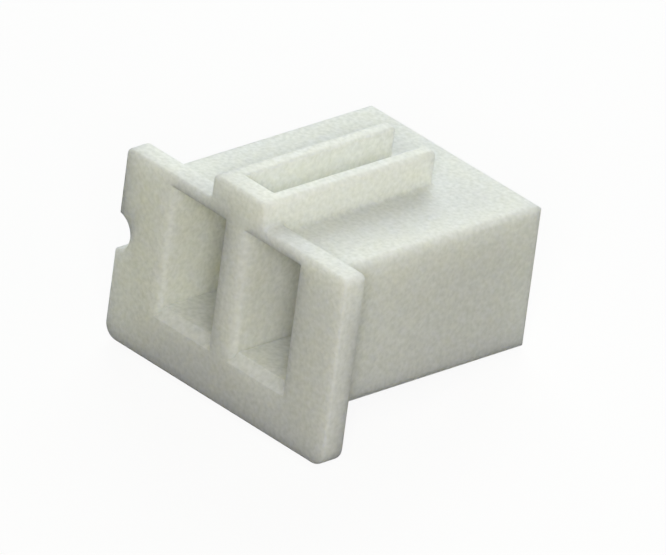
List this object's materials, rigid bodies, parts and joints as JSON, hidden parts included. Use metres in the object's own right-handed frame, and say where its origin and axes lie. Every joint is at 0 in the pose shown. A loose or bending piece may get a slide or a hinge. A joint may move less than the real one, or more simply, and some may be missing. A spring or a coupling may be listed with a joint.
{
  "type": "crimp connector housing",
  "caption": "Natural nylon plug housing for crimped wire terminals in a single row, with a wire-side flange, a finger tab, two key rails on top and a plug body that slides into a board header.",
  "frame": {"origin": "under the middle of the part's box, on the foot of the flange", "axes": "+X along the row of terminals away from the end with the nick, +Y from the wire side to the mating end, +Z towards the side with the tab and rails"},
  "size_m": [0.0074, 0.0068, 0.0054],
  "materials": {
    "nylon": "natural off-white nylon, slightly translucent, fine moulded texture"
  },
  "bodies": {
    "root": {"housing": "nylon"}
  },
  "joints": []
}
